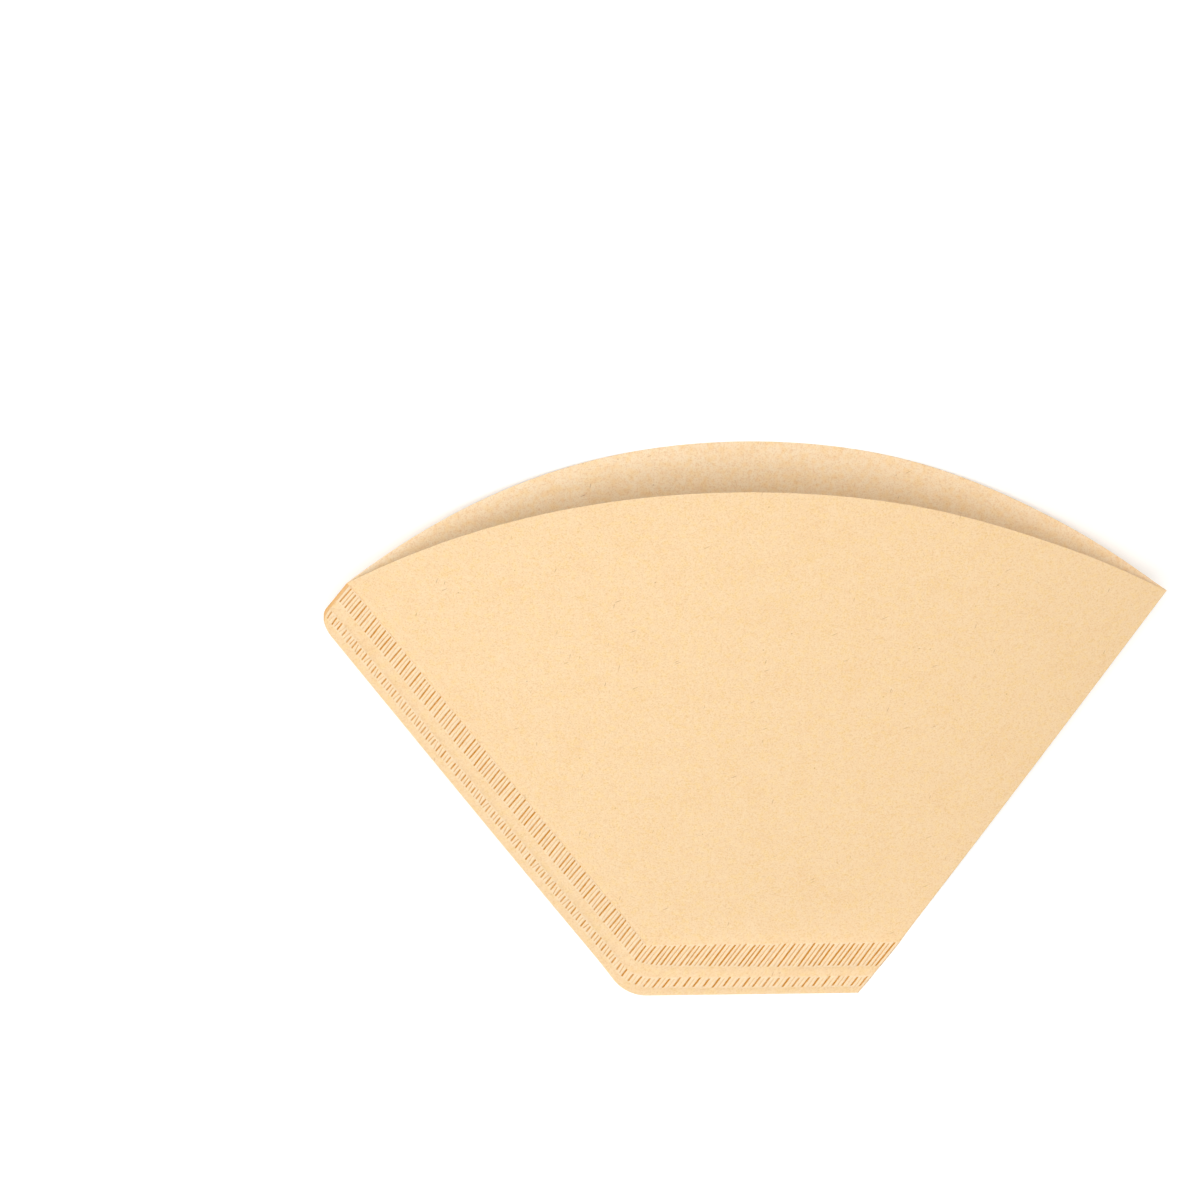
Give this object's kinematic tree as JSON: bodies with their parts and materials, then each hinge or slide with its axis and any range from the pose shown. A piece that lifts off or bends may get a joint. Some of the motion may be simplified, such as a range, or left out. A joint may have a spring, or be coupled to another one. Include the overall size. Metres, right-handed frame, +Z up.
{
  "type": "paper coffee filter",
  "caption": "Cone coffee filter of unbleached paper, one folded sheet crimped along its side and foot, lying with its mouth a little open.",
  "frame": {"origin": "on the surface it lies on, under the middle of its bounding box", "axes": "+Y from the crimped foot to the open mouth, +X from the crimped side seam to the fold, +Z up, out of the front panel"},
  "size_m": [0.1626, 0.1168, 0.0284],
  "materials": {
    "paper": "matte, unbleached, finely mottled with darker fibres"
  },
  "bodies": {
    "root": {"filter": "paper"}
  },
  "joints": []
}
